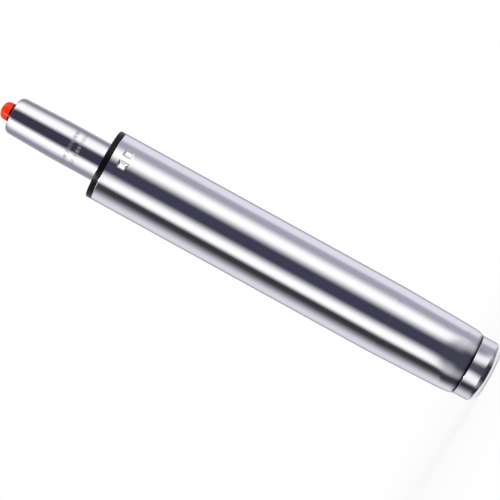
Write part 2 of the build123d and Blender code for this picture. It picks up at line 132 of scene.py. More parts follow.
class ColumnSizes(PropertyGroup):
    """The chromed column tube and the dents pressed into it."""
    radius: length("Radius", "Outer radius of the straight tube", tube_high.x)
    wall: length("Wall", "Thickness of the tube's wall", 2 * MM)
    top: length("Top", "Height of the tube's upper edge", tube_high.z)
    foot: length("Foot", "Height of the tube's lower edge", tube_low.z)
    edge_chamfer: length("Edge chamfer", "Chamfer round the upper edge", 0.5 * MM)
    taper_top: length("Taper top", "Height where the hub taper starts", 78 * MM)
    taper_end: length("Taper end", "Height where the hub taper ends", 30 * MM)
    taper_angle: turn("Taper angle", "Half angle of the hub taper", 1.4378)
    bend_height: length("Bend height", "Height where the rolled-in foot starts to bend sharply", 20 * MM)
    bend_inset: length("Bend inset", "How far the wall has come in at that height", 0.65 * MM)
    foot_inset: length("Foot inset", "How far the wall has come in at its lower edge", 1.85 * MM)
    foot_round: length("Foot rounding", "Rounding of the lower edge", 0.4 * MM)
    dent_height: length("Dent height", "Height of the dents' centres", 282.5 * MM)
    dent_length: length("Dent length", "Length of a dent's floor, along the tube", 4.4 * MM)
    dent_width: length("Dent width", "Width of a dent's floor, round the tube", 3.4 * MM)
    dent_depth: length("Dent depth", "Depth of a dent's floor below the surface", 0.9 * MM)
    dent_slope: turn("Dent slope", "How far a dent's walls lean outward", 40)
    dent_spacing: turn("Dent spacing", "Angle round the tube between the two dents of a pair", 22.2)
    dent_round: length("Dent rounding", "Softness of a dent's pressed edges", 0.1 * MM)
    boss_margin: length("Boss margin", "How far the boss inside reaches past the dent's floor", 0.11 * MM)
    # Painted shade: the chrome is darkened in a band just above the foot, where the seam lies in shade.
    oil_start: length("Oil start", "Height above the foot up to which old oil darkens the chrome", 2.6 * MM)
    oil_end: length("Oil end", "Height above the foot up to which it is fully dark", 0.4 * MM)


class CupSizes(PropertyGroup):
    """The pressed cup that closes the foot of the column."""
    ring_radius: length("Ring radius", "Outer radius of the ring that shows", cup_high.x)
    ring_top: length("Ring top", "Height of the ring's upper edge", tube_low.z)
    edge_width: length("Edge width", "How far in the ring's soft lower edge reaches", 8 * MM)
    edge_height: length("Edge height", "How far up that edge reaches", 6 * MM)
    spigot_radius: length("Spigot radius", "Outer radius of the wall inside the column",
                          cup_high.x - 1.83 * MM)
    spigot_top: length("Spigot top", "Height of that wall's upper edge", cup_high.z)
    wall: length("Wall", "Thickness of the cup's wall", 2.2 * MM)
    rim_thickness: length("Rim thickness", "Thickness of the cup's lower rim", 3.5 * MM)
    recess_radius: length("Recess radius", "Radius of the recess that hides the clip", 11 * MM)
    recess_depth: length("Recess depth", "Depth of that recess", 8 * MM)
    recess_wall: length("Recess wall", "Thickness of the wall round the recess", 3 * MM)
    plate_thickness: length("Plate thickness", "Thickness of the plate that carries the rod", 3.5 * MM)
    bore_radius: length("Bore radius", "Radius of the hole that the rod stands in", 4.4 * MM)
    bend_radius: length("Bend radius", "Inner bends of the pressing", 1 * MM)


class CylinderSizes(PropertyGroup):
    """The gas cylinder and the two rows of etched dashes on it."""
    radius: length("Radius", "Outer radius of the cylinder", cylinder_high.x)
    wall: length("Wall", "Thickness of the cylinder's wall", 1.5 * MM)
    top: length("Top", "Height of the rolled-in upper end", cylinder_high.z)
    bottom: length("Bottom", "Height of the rolled-in lower end", cylinder_low.z)
    taper_length: length("Taper length", "Length of the seat taper below the upper end", 36 * MM)
    shoulder: length("Shoulder", "Rounding of the upper end", 4.2 * MM)
    mouth_radius: length("Mouth radius", "Opening round the button", 7.1 * MM)
    foot_round: length("Foot rounding", "Rounding of the lower end", 2.5 * MM)
    foot_opening: length("Foot opening", "Opening round the rod", 8 * MM)
    dash_height: length("Dash height", "Height of an etched dash, along the cylinder", 2.6 * MM)
    dash_pitch: length("Dash pitch", "Room that one dash takes round the cylinder", 1.3 * MM)
    upper_row: length("Upper row", "Height of the upper row's middle", 320 * MM)
    lower_row: length("Lower row", "Height of the lower row's middle", 314 * MM)


class ButtonSizes(PropertyGroup):
    """The release button."""
    radius: length("Radius", "Radius of the button", button_high.x)
    top: length("Top", "Height of the button's flat top", button_high.z)
    bottom: length("Bottom", "Height of its lower end", button_low.z)
    top_radius: length("Top radius", "Radius of the dome's small flat top", 1.5 * MM)
    dome_height: length("Dome height", "Height of the domed end", 4.6 * MM)
    # Painted shade: the button is painted dark up to this height, where it enters the cylinder's mouth.
    dip: length("Dip", "Height up to which the button is black with grease", 367.0 * MM)
    dip_fade: length("Dip fade", "Height over which the grease thins out above that", 0.5 * MM)
    pin_radius: length("Pin radius", "Radius of the hole for the valve pin", 2.03 * MM)
    pin_depth: length("Pin depth", "Depth of that hole", 8.03 * MM)


class Finishes(PropertyGroup):
    """The colours of the finishes, as sRGB."""
    chrome: colour("Chrome", "Bright chrome plate on the column tube", "#EFEFF2")
    ground_steel: colour("Ground steel", "Polished gas cylinder, rod and pin", "#ECECF0")
    pressed_steel: colour("Pressed steel", "Plated bottom cup", "#EAEAEE")
    bearing_steel: colour("Bearing steel", "Races and balls", "#D3D4D8")
    spring_steel: colour("Spring steel", "Phosphated retaining clip", "#4A4B50")
    zinc: colour("Zinc", "Zinc plated washers, nut and inner tube", "#C9CDD3")
    cast_alloy: colour("Cast alloy", "Die-cast valve body and piston", "#C2C4C9")
    black_plastic: colour("Black plastic", "Acetal guide sleeve", "#0B0A0E")
    white_plastic: colour("White plastic", "Acetal bearing cage, rod guide and stop tube", "#E4E2DA")
    rubber: colour("Rubber", "Nitrile bumper and seals", "#1D1D1F")
    orange_plastic: colour("Orange plastic", "Acetal release button", "#EE300A")
    etching: colour("Etching", "Matt etched dashes on the cylinder", "#828286")
    # Painted shade: the dark colour of the seam at the column's foot.
    old_oil: colour("Old oil", "Dark oil in the seam at the column's foot", "#2E2D33")
    # Painted shade: the dark colour round the button's foot, where it sits in the cylinder's mouth.
    old_grease: colour("Old grease", "Dark grease round the button's foot", "#1E0A08")


class Studio(PropertyGroup):
    """The floor, the lights and the camera."""
    camera_side: turn("Camera side", "Direction of the camera round the column, from +X", -111.7)
    camera_distance: length("Camera distance", "From the column's axis", 1761 * MM)
    camera_height: length("Camera height", "Above the floor", 162 * MM)
    aim_height: length("Aim height", "Height of the point in the middle of the picture", 181.2 * MM)
    aim_side: length("Aim side", "How far that point is to the camera's left of the axis", 3.48 * MM)
    camera_roll: turn("Camera roll", "How far the column leans to the left in the picture", 61.18)
    lens: FloatProperty(name="Lens", description="Focal length in millimetres", default=188.4, unit="CAMERA")
    floor_radius: length("Floor radius", "Radius of the pale floor", 3.0)
    floor_glow: share("Floor glow", "How much of the floor's white beside the column shows no shadow", 0.8)
    shadow_start: length("Shadow start", "Distance from the column where the shadow starts to fade", 60 * MM)
    shadow_end: length("Shadow end", "Distance from the column where the shadow has faded", 420 * MM)
    room_light: FloatProperty(name="Room light", description="Strength of the studio's walls", default=1.15)
    lamp_power: FloatProperty(name="Lamp power", description="Power of each soft lamp", default=14.0,
                              min=0.0, unit="POWER")
    lamp_height: length("Lamp height", "Height of the lamps' middles above the floor", 0.95)
    lamp_distance: length("Lamp distance", "From the column's axis to each lamp", 1.6)
    lamp_tall: length("Lamp length", "Upright length of each lamp", 1.0)


def rounded_outline(rows, steps=5, support=0.15 * MM, closed=True):
    """A half section as radius and height, from corners given as radius, height and rounding.

    A corner with rounding q becomes an arc that touches both of its sides. With a as half the angle between
    the sides, the arc starts and ends q / tan(a) from the corner, and its centre lies q / sin(a) from the
    corner on the line that halves the angle. A short straight step before and after each arc keeps the
    shading of long flat stretches flat.
    """
    rows = np.array(rows, float)
    place, rounding = rows[:, :2], rows[:, 2:]
    is_round = rounding > 0
    back, ahead = (np.roll(place, shift, axis=0) - place for shift in (1, -1))
    back_length, ahead_length = (np.linalg.norm(side, axis=1, keepdims=True) for side in (back, ahead))
    back, ahead = back / back_length, ahead / ahead_length
    half = np.arccos(np.clip((back * ahead).sum(1, keepdims=True), -1, 1)) / 2
    half = np.where(is_round, half, pi / 4)
    reach = rounding / np.tan(half)
    middle = np.where(is_round, back + ahead, 1.0)
    middle = middle / np.linalg.norm(middle, axis=1, keepdims=True)
    centre = place + middle * (rounding / np.sin(half))
    first, last = (place + side * reach - centre for side in (back, ahead))
    start = np.arctan2(first[:, 1:], first[:, :1])
    sweep = np.arctan2(last[:, 1:], last[:, :1]) - start
    sweep = (sweep + pi) % (2 * pi) - pi
    angle = start + sweep * np.linspace(0, 1, steps)
    arc = centre[:, None, :] + rounding[:, :, None] * np.stack((np.cos(angle), np.sin(angle)), axis=2)
    room = np.minimum(back_length, ahead_length) / 2 - reach
    step = np.where(is_round, np.clip(room, 0, support), 0)
    before, after = ((place + side * reach + side * step)[:, None, :] for side in (back, ahead))
    points = np.concatenate((before, arc, after), axis=1)
    # A sharp corner gives one point only.
    outline = points[is_round | (np.arange(points.shape[1]) == 0)]
    gap = np.linalg.norm(np.diff(outline, axis=0), axis=1)
    outline = outline[np.concatenate(([True], gap > SAME_POINT))]
    if closed and np.linalg.norm(outline[0] - outline[-1]) < SAME_POINT:
        outline = outline[:-1]
    return outline


def tangent_arc(start, heading, end):
    """An arc from start to end that leaves start along heading, and its heading at the end.

    With c as the chord and d as the angle from heading to c, the arc turns by 2d on the radius
    |c| / (2 sin d), so its points are start + radius * (sin(u) heading + (1 - cos(u)) side), u from 0 to 2d.
    """
    chord = end - start
    side = np.array((-heading[1], heading[0]))
    if chord @ side < 0:
        side = -side
    lean = np.arctan2(chord @ side, chord @ heading)
    radius = np.linalg.norm(chord) / (2 * sin(lean))
    u = np.linspace(0, 2 * lean, FOOT_STEPS)[1:, None]
    points = start + radius * (np.sin(u) * heading + (1 - np.cos(u)) * side)
    return points, cos(2 * lean) * heading + sin(2 * lean) * side


def even_angles(count):
    """Angles all round, a whole turn divided evenly."""
    return np.arange(count) * 2 * pi / count


def turned_points(outline, angles, lift=0.0):
    """A surface of revolution: the point at outline row (r, h) and angle a is (r cos a, r sin a, h).

    lift is added to r. It is one number, or an array with a row for each outline row.
    """
    radius, height = outline[:, 0:1] + lift, outline[:, 1:2]
    return np.stack(np.broadcast_arrays(radius * np.cos(angles), radius * np.sin(angles), height), axis=2)


def turned_faces(ring_count, column_count, closed):
    """The four-sided faces between neighbouring rings and columns of points."""
    last = ring_count if closed else ring_count - 1
    ring = np.arange(last)[:, None]
    column = np.arange(column_count)[None, :]
    next_ring = (ring + 1) % ring_count
    next_column = (column + 1) % column_count
    corners = (ring * column_count + column, ring * column_count + next_column,
               next_ring * column_count + next_column, next_ring * column_count + column)
    return np.stack(np.broadcast_arrays(*corners), axis=2).reshape(-1, 4)


def new_object(name, data):
    """A new object in the scene, in place of an old one of that name."""
    old = bpy.data.objects.get(name)
    if old is not None:
        bpy.data.objects.remove(old)
    made = bpy.data.objects.new(name, data)
    bpy.context.scene.collection.objects.link(made)
    return made


def new_surface(name, points, faces, material):
    """A new object with one mesh and one material."""
    mesh = bpy.data.meshes.new(name)
    mesh.from_pydata(points.tolist(), [], faces)
    mesh.update()
    mesh.materials.append(material)
    return new_object(name, mesh)


def turned_piece(name, outline, angles, node, body, material, lift=0.0, closed=True):
    """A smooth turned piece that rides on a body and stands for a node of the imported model.

    A closed outline makes a ring, and an open one starts and ends on the axis, where a fan closes each end.
    """
    points = turned_points(outline, angles, lift)
    # Faces point outwards if the outline runs anticlockwise, where twice the area inside it is positive.
    r, h = outline.T
    if np.sum(r * np.roll(h, -1) - np.roll(r, -1) * h) < 0:
        points = points[::-1]
    poles = points[[0, -1], 0]
    if not closed:
        points = points[1:-1]
    count = len(angles)
    faces = turned_faces(len(points), count, closed).tolist()
    points = points.reshape(-1, 3)
    if not closed:
        column = np.arange(count)
        next_column = (column + 1) % count
        top = len(points) - count
        for pole, first, second in ((0, next_column, column), (1, top + column, top + next_column)):
            faces += np.stack((np.full(count, len(points) + pole), first, second), axis=1).tolist()
        points = np.concatenate((points, poles))
    piece = new_surface(name, points, faces, material)
    piece.data.shade_smooth()
    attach(piece, body)
    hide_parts(node)


def column_side(sizes, inset, dent_rows):
    """One face of the column's wall from its top down, as rows of radius, height and rounding.

    It is straight, then a taper whose radius falls by tan(half angle) for each metre down, then two arcs,
    each tangent to what comes before it.
    """
    taper_end_radius = sizes.radius - tan(sizes.taper_angle) * (sizes.taper_top - sizes.taper_end)
    heading = np.array((-sin(sizes.taper_angle), -cos(sizes.taper_angle)))
    taper_end = np.array((taper_end_radius, sizes.taper_end))
    bend = np.array((taper_end_radius - sizes.bend_inset, sizes.bend_height))
    foot = np.array((taper_end_radius - sizes.foot_inset, sizes.foot))
    upper_arc, heading = tangent_arc(taper_end, heading, bend)
    lower_arc, heading = tangent_arc(bend, heading, foot)
    # Two rows on each side of the taper's start keep the kink there crisp.
    sharp = np.array((0.1 * MM, 0.05 * MM))
    below_dents = sizes.dent_height - 3 * sizes.dent_length
    straight = np.concatenate((dent_rows, [below_dents], sizes.taper_top + sharp))
    line = np.stack((np.full(len(straight), sizes.radius), straight), axis=1)
    taper = np.array([(sizes.radius, sizes.taper_top), tuple(taper_end)])
    share_down = np.concatenate((sharp[::-1] / (sizes.taper_top - sizes.taper_end),
                                 np.linspace(0, 1, TAPER_ROWS)[1:]))
    taper_line = taper[0] + (taper[1] - taper[0]) * share_down[:, None]
    side = np.concatenate((line, taper_line, upper_arc, lower_arc))
    side[:, 0] -= inset
    return np.concatenate((side, np.zeros((len(side), 1))), axis=1)


def pressed_radius(sizes, floor, half_length, half_width, slope, along, off_stroke):
    """The radius of a pressed pocket's surface, along the tube and at an angle from the punch's stroke.

    The floor is flat and square to the stroke, at the distance floor from the axis. The walls lean outward by
    the slope, so each is a plane that climbs by 1 / tan(slope) for each step away from the floor's edge. With
    u as the distance of the pocket's middle from the stroke's line through the axis and w as half the width,
    the plane on the far side is met at the radius
    (floor - (u + w) / tan(slope)) / (cos a - sin a / tan(slope)), and the one on the near side at
    (floor + (u - w) / tan(slope)) / (cos a + sin a / tan(slope)).
    """
    climb = 1 / tan(slope)
    middle = sizes.radius * sin(sizes.dent_spacing / 2)
    end_wall = (floor + np.maximum(along - half_length, 0) * climb) / np.cos(off_stroke)
    # Past the pocket this is kept above zero, which puts the far wall well outside the tube.
    least_facing = 0.1
    facing_far = np.maximum(np.cos(off_stroke) - np.sin(off_stroke) * climb, least_facing)
    far_wall = (floor - (middle + half_width) * climb) / facing_far
    near_wall = (floor + (middle - half_width) * climb) / (np.cos(off_stroke) + np.sin(off_stroke) * climb)
    return np.maximum(np.maximum(end_wall, far_wall), near_wall)


def dent_lift(sizes, outline, angles):
    """How far the dents push the column's wall inward, for each outline row and angle.

    The two punches of a pair move side by side, along -Y and +Y, so both floors of a pair face the same way.
    The surface is the lower of the tube and the pocket, and a soft minimum rounds the edges:
    min(a, b) - round * log(1 + exp(-|a - b| / round)). Inside, a boss of the same form stands out.
    """
    # No dent reaches this far round the tube from its stroke, or this far along the tube from its middle.
    past_round, past_along = pi / 4, 2 * sizes.dent_length
    off_stroke = (angles[None, :] - np.array((-pi / 2, pi / 2))[:, None] + pi) % (2 * pi) - pi
    off_stroke = np.minimum(np.abs(off_stroke).min(0)[None, :], past_round)
    along = np.abs(outline[:, 1:2] - sizes.dent_height)
    radius = outline[:, 0:1]
    face = sizes.radius * cos(sizes.dent_spacing / 2) - sizes.dent_depth
    half_length, half_width = sizes.dent_length / 2, sizes.dent_width / 2
    pocket = pressed_radius(sizes, face, half_length, half_width, sizes.dent_slope, along, off_stroke)
    boss = pressed_radius(sizes, face - sizes.wall, half_length + sizes.boss_margin,
                          half_width + sizes.boss_margin, sizes.dent_slope / 2, along, off_stroke)
    is_outside = radius > sizes.radius - sizes.wall / 2
    dented = np.where(is_outside, pocket, boss)
    soft = sizes.dent_round
    blend = np.minimum(radius, dented) - soft * np.log1p(np.exp(-np.abs(radius - dented) / soft))
    # Surfaces this far apart don't round each other any more.
    apart = 8 * soft
    is_near = (along < past_along) & (dented < radius + apart)
    return np.where(is_near, blend - radius, 0.0)


def make_column_tube(sizes, material):
    """The column: its wall's half section turned all round, then dented."""
    reach = 0.9 * sizes.dent_length
    dent_rows = sizes.dent_height + np.linspace(reach, -reach, DENT_ROWS)
    outside = column_side(sizes, 0, dent_rows)
    inside = column_side(sizes, sizes.wall, dent_rows)[::-1]
    outside[-1, 2] = sizes.foot_round
    inside[0, 2] = BROKEN_EDGE
    chamfer = sizes.edge_chamfer
    top_edges = [(sizes.radius - sizes.wall, sizes.top, BROKEN_EDGE),
                 (sizes.radius - chamfer, sizes.top, BROKEN_EDGE),
                 (sizes.radius, sizes.top - chamfer, BROKEN_EDGE)]
    outline = rounded_outline(np.concatenate((inside, top_edges, outside)))
    half_spacing = sizes.dent_spacing / 2
    fine = np.linspace(-DENT_SPAN, DENT_SPAN, DENT_COLUMNS)
    near_dents = [middle + side * half_spacing + fine for middle in (-pi / 2, pi / 2) for side in (-1, 1)]
    everywhere = even_angles(COLUMN_TUBE_COLUMNS) - pi
    # Angles that agree to this many decimals are one column.
    decimals = 4
    angles = np.unique(np.round(np.concatenate((*near_dents, everywhere)) % (2 * pi), decimals))
    lift = dent_lift(sizes, outline, angles)
    turned_piece("column_tube", outline, angles, "outer_tube", "column", material, lift)


def quarter_ellipse(centre, width, height, start, steps=25):
    """Outline rows on a quarter of an ellipse: (x + width * cos(u), z + height * sin(u)), u from start on."""
    u = np.linspace(start, start + pi / 2, steps)
    return np.stack((centre[0] + width * np.cos(u), centre[1] + height * np.sin(u), 0 * u), axis=1)


def make_bottom_cup(sizes, material):
    """The cup: a pressed ring, wall, recess and plate turned all round the rod's hole."""
    edge = 0.15 * MM
    plate_top = sizes.recess_depth + sizes.plate_thickness
    edge_centre = (sizes.ring_radius - sizes.edge_width, sizes.edge_height)
    outline = rounded_outline([
        (sizes.recess_radius, 0, sizes.bend_radius),
        *quarter_ellipse(edge_centre, sizes.edge_width, sizes.edge_height, -pi / 2),
        (sizes.ring_radius, sizes.edge_height + edge, 0),
        (sizes.ring_radius, sizes.ring_top, edge),
        (sizes.spigot_radius, sizes.ring_top, edge),
        (sizes.spigot_radius, sizes.spigot_top, 2 * edge),
        (sizes.spigot_radius - sizes.wall, sizes.spigot_top, edge),
        (sizes.spigot_radius - sizes.wall, sizes.rim_thickness, edge),
        (sizes.recess_radius + sizes.recess_wall, sizes.rim_thickness, edge),
        (sizes.recess_radius + sizes.recess_wall, plate_top, sizes.bend_radius),
        (sizes.bore_radius, plate_top, edge),
        (sizes.bore_radius, sizes.recess_depth, edge),
        (sizes.recess_radius, sizes.recess_depth, edge),
    ], steps=ARC_STEPS)
    turned_piece("cup", outline, even_angles(COLUMNS), "bottom_cup", "column", material)


def make_gas_cylinder(sizes, taper_angle, material):
    """The gas cylinder: a tube with a slow taper above and both ends rolled in."""
    edge = 0.15 * MM
    taper_bottom = sizes.top - sizes.taper_length
    inner_top = sizes.top - sizes.wall
    bore_radius = sizes.radius - sizes.wall
    top_radius = sizes.radius - tan(taper_angle) * sizes.taper_length
    bore_top_radius = bore_radius - tan(taper_angle) * (inner_top - taper_bottom)
    outline = rounded_outline([
        (sizes.foot_opening, sizes.bottom, edge),
        (sizes.radius, sizes.bottom, sizes.foot_round),
        (sizes.radius, taper_bottom, 0),
        (top_radius, sizes.top, sizes.shoulder),
        (sizes.mouth_radius, sizes.top, 2 * edge),
        (sizes.mouth_radius, inner_top, edge),
        (bore_top_radius, inner_top, sizes.shoulder - sizes.wall),
        (bore_radius, taper_bottom, 0),
        (bore_radius, sizes.bottom + sizes.wall, sizes.foot_round - sizes.wall),
        (sizes.foot_opening, sizes.bottom + sizes.wall, edge),
    ], steps=ARC_STEPS)
    turned_piece("gas_cylinder", outline, even_angles(COLUMNS), "pressure_tube", "cylinder",
                 material)


def make_release_button(sizes, material):
    """The button: a moulded plug with a domed end, and a hole below for the valve pin."""
    edge = 0.2 * MM
    dome_centre = (sizes.top_radius, sizes.top - sizes.dome_height)
    dome_width = sizes.radius - sizes.top_radius
    outline = rounded_outline([
        (0, sizes.bottom + sizes.pin_depth, 0),
        (sizes.pin_radius, sizes.bottom + sizes.pin_depth, edge),
        (sizes.pin_radius, sizes.bottom, edge),
        (sizes.radius, sizes.bottom, edge),
        (sizes.radius, dome_centre[1] - edge, 0),
        *quarter_ellipse(dome_centre, dome_width, sizes.dome_height, 0),
        (0, sizes.top, 0),
    ], steps=BUTTON_ARC_STEPS, closed=False)
    turned_piece("button", outline, even_angles(BUTTON_COLUMNS), "release_button", "button",
                 material, closed=False)


def used_output(node):
    """The first output of a node that is in use."""
    return next(output for output in node.outputs if output.enabled)


def add_node(tree, kind, inputs=None, **settings):
    """Adds a shader node with its settings and links.

    Each input, by its name or place, is a number, a vector, a colour as sRGB hex or as linear red, green and
    blue, or what feeds it: a socket, or a node, by its first output in use.
    """
    node = tree.nodes.new("ShaderNode" + kind)
    for name, value in settings.items():
        setattr(node, name, value)
    for name, value in (inputs or {}).items():
        # Some kinds have an input of one name for each kind of value, of which one is in use.
        socket = next(each for place, each in enumerate(node.inputs)
                      if each.enabled and name in (place, each.name))
        if isinstance(value, bpy.types.Node):
            value = used_output(value)
        if isinstance(value, bpy.types.NodeSocket):
            tree.links.new(value, socket)
        elif socket.type == "RGBA":
            socket.default_value = [*(linear(value) if isinstance(value, str) else value), 1]
        else:
            socket.default_value = value
    return node


def new_material(name, build, *values):
    """A material whose surface build makes, from a function that adds nodes to it and from the values."""
    material = bpy.data.materials.get(name) or bpy.data.materials.new(name)
    material.use_nodes = True
    material.node_tree.nodes.clear()
    add = partial(add_node, material.node_tree)
    add("OutputMaterial", {"Surface": build(add, *values)})
    return material


# The part of a noise's range from 0 to 1 in which nearly all its values lie.
NOISE_RANGE = {"From Min": 0.3, "From Max": 0.7}
# A Map Range node that starts and ends softly.
SOFT = {"interpolation_type": "SMOOTHSTEP"}


def finish_surface(add, tint, drift, clouds, gloss, relief, depth, others):
    """The shader of a finish, with gloss as its roughness, relief as its bump and its other inputs.

    Its colour drifts by the share drift to each side of tint as clouds goes from 0 to 1.
    """
    darker = [channel * (1 - drift) for channel in tint]
    lighter = [min(1, channel * (1 + drift)) for channel in tint]
    shade = add("Mix", {"Factor": clouds, "A": darker, "B": lighter}, data_type="RGBA")
    bump = add("Bump", {"Height": relief, "Strength": 1, "Distance": depth})
    return add("BsdfPrincipled", {"Base Color": shade, "Roughness": gloss, "Normal": bump, **others})


def ringed_metal(add, tint, roughness, ring_pitch, ring_depth, drift=0.015):
    """A metal with fine rings round the tall axis, left by turning, grinding or belt polishing.

    Noise squeezed along the axis gives the rings, and a broad noise, with patches of about the column's
    radius, lets gloss and colour drift a little. Real marks of this kind are a few hundredths of a
    millimetre apart, too fine to show in the render, so the ring pitch is drawn 10 to 30 times as coarse.
    """
    # How often a ring changes in a metre along its way.
    ring_change = 8
    patch = 22 * MM
    place = add("TexCoord").outputs["Object"]
    squeezed = add("Mapping", {"Vector": place, "Scale": (ring_change, ring_change, 1 / ring_pitch)})
    rings = add("TexNoise", {"Vector": squeezed, "Scale": 1, "Detail": 3})
    broad = add("TexNoise", {"Vector": place, "Scale": 1 / patch, "Detail": 4})
    gloss = add("MapRange", {
        "Value": broad, **NOISE_RANGE, "To Min": roughness * 0.8, "To Max": roughness * 1.2})
    return finish_surface(add, tint, drift, broad, gloss, rings, ring_depth, {"Metallic": 1})


def grained_metal(add, tint, roughness, grain, grain_depth, drift):
    """A metal whose surface is a fine crystal grain, such as a plated, cast or phosphated one.

    Real grain of this kind is some hundredths of a millimetre wide, so it is drawn about 10 times as coarse.
    """
    cloud_width = 6 * grain
    place = add("TexCoord").outputs["Object"]
    cells = add("TexVoronoi", {"Vector": place, "Scale": 1 / grain})
    cloud = add("TexNoise", {"Vector": place, "Scale": 1 / cloud_width, "Detail": 5})
    gloss = add("MapRange", {"Value": cells, "To Min": roughness * 0.8, "To Max": roughness * 1.25})
    return finish_surface(add, tint, drift, cloud, gloss, cells, grain_depth, {"Metallic": 1})


def moulded_plastic(add, tint, roughness, ior, grain, grain_depth, drift=0.04, glow=0.0, specular=0.5):
    """A moulded polymer: its mould's spark-eroded grain as a fine bump, and colour that drifts slightly.

    Real eroded grain is about 0.05 mm wide, too fine to show, so it is drawn 7 to 12 times as coarse.
    """
    flow_width = 9 * MM
    place = add("TexCoord").outputs["Object"]
    skin = add("TexNoise", {"Vector": place, "Scale": 1 / grain, "Detail": 2})
    flow = add("TexNoise", {"Vector": place, "Scale": 1 / flow_width, "Detail": 3})
    gloss = add("MapRange", {
        "Value": flow, **NOISE_RANGE, "To Min": roughness * 0.85, "To Max": roughness * 1.15})
    return finish_surface(add, tint, drift, flow, gloss, skin, grain_depth, {
        "IOR": ior, "Specular IOR Level": specular, "Subsurface Weight": glow,
        "Subsurface Radius": (1, 0.4, 0.2), "Subsurface Scale": 1 * MM})


# The finish of each material slot: its name, what makes it, its colour's property and its settings.
FINISHES = {
    # Hard chrome on a belt-polished tube: a near mirror, so the room shows in it as long even bands.
    "chromed_steel": ("hard_chrome_plate", ringed_metal, "chrome", {
        "roughness": 0.03, "ring_pitch": 0.9 * MM, "ring_depth": 0.0004 * MM}),
    # A drawn and plated pressing: a little softer in its gloss than the tube, with faint drawing rings.
    "pressed_steel": ("plated_drawn_steel", ringed_metal, "pressed_steel", {
        "roughness": 0.04, "ring_pitch": 0.7 * MM, "ring_depth": 0.0004 * MM}),
    # A centreless-ground and polished bar or tube: bright, with faint grinding rings.
    "polished_steel": ("ground_polished_steel", ringed_metal, "ground_steel", {
        "roughness": 0.05, "ring_pitch": 0.6 * MM, "ring_depth": 0.0006 * MM}),
    # Hardened and lapped bearing steel: grey and bright, with very fine rings.
    "bearing_steel": ("lapped_bearing_steel", ringed_metal, "bearing_steel", {
        "roughness": 0.16, "ring_pitch": 0.4 * MM, "ring_depth": 0.001 * MM}),
    # Phosphated spring steel: dark grey and matt, with a dry crystal grain.
    "spring_steel": ("phosphated_spring_steel", grained_metal, "spring_steel", {
        "roughness": 0.5, "grain": 0.25 * MM, "grain_depth": 0.01 * MM, "drift": 0.12}),
    # Bright zinc plate: a cool grey, half matt, and slightly cloudy.
    "zinc_plated": ("zinc_plated_steel", grained_metal, "zinc", {
        "roughness": 0.28, "grain": 0.5 * MM, "grain_depth": 0.003 * MM, "drift": 0.06}),
    # Die-cast zinc alloy, turned where it seals: a soft grey gloss over a fine pebbled skin.
    "cast_alloy": ("turned_cast_alloy", grained_metal, "cast_alloy", {
        "roughness": 0.34, "grain": 0.4 * MM, "grain_depth": 0.004 * MM, "drift": 0.05}),
    # Black acetal from an eroded mould: satin, so the lights show on its edges as grey streaks.
    "black_acetal": ("moulded_black_acetal", moulded_plastic, "black_plastic", {
        "roughness": 0.22, "ior": 1.48, "grain": 0.35 * MM, "grain_depth": 0.001 * MM, "specular": 0.22}),
    # Natural white acetal: satin and faintly translucent.
    "white_acetal": ("moulded_white_acetal", moulded_plastic, "white_plastic", {
        "roughness": 0.4, "ior": 1.48, "grain": 0.35 * MM, "grain_depth": 0.008 * MM, "glow": 0.15}),
    # Moulded nitrile rubber: black and matt, with a slight bloom.
    "black_rubber": ("moulded_nitrile_rubber", moulded_plastic, "rubber", {
        "roughness": 0.7, "ior": 1.52, "grain": 0.5 * MM, "grain_depth": 0.02 * MM}),
    # Orange-red acetal: a strong even colour with one soft pale highlight.
    "orange_plastic": ("moulded_orange_acetal", moulded_plastic, "orange_plastic", {
        "roughness": 0.2, "ior": 1.48, "grain": 0.6 * MM, "grain_depth": 0.0005 * MM, "specular": 0.3}),
}


def slot_finish(add, finishes, slot):
    """The shader of a material slot's finish."""
    _, make, colour_name, settings = FINISHES[slot]
    return make(add, getattr(finishes, colour_name), **settings)


def slot_material(finishes, slot):
    """The material of a slot."""
    return new_material(FINISHES[slot][0], slot_finish, finishes, slot)


def etched_cylinder_steel(add, finishes, sizes, side):
    """The polished cylinder with two rows of short matt dashes, where such a cylinder is laser marked.

    A row is a band of heights. Round the cylinder it is cut into cells of one pitch, and a random number
    for each cell sets how much of it the dash fills, so that the dashes are uneven and say nothing. The
    second row is shifted on, so that it takes other random numbers. Dashes stand only in front.
    """
    marked_half = radians(72)
    cells_behind = 100
    row_shift = 17.5
    short_chance, shortest, longest = 0.15, 0.25, 0.7
    place = add("TexCoord").outputs["Object"]
    turned = add("VectorRotate", {"Vector": place, "Angle": -side}, rotation_type="Z_AXIS")
    parts = add("SeparateXYZ", {"Vector": turned}).outputs
    angle = add("Math", {0: parts["Y"], 1: parts["X"]}, operation="ARCTAN2")
    masks = []
    for row_height, shift in ((sizes.upper_row, 0.0), (sizes.lower_row, row_shift)):
        in_row = add("Math", {0: parts["Z"], 1: row_height, 2: sizes.dash_height / 2}, operation="COMPARE")
        cells = add("Math", {
            0: angle, 1: sizes.radius / sizes.dash_pitch, 2: cells_behind + shift}, operation="MULTIPLY_ADD")
        cell = add("Math", {0: cells}, operation="FLOOR")
        within = add("Math", {0: cells}, operation="FRACT")
        chance = add("TexWhiteNoise", {"W": cell}, noise_dimensions="1D")
        fill = add("MapRange", {
            "Value": chance, "From Min": short_chance, "To Min": shortest, "To Max": longest})
        is_dash = add("Math", {0: within, 1: fill}, operation="LESS_THAN")
        masks.append(add("Math", {0: in_row, 1: is_dash}, operation="MULTIPLY"))
    either = add("Math", dict(enumerate(masks)), operation="MAXIMUM")
    in_front = add("Math", {0: angle, 1: 0, 2: marked_half}, operation="COMPARE")
    mask = add("Math", {0: either, 1: in_front}, operation="MULTIPLY")
    frost = add("BsdfPrincipled", {"Base Color": finishes.etching, "Roughness": 0.6})
    return add("MixShader", {0: mask, 1: slot_finish(add, finishes, "polished_steel"), 2: frost})


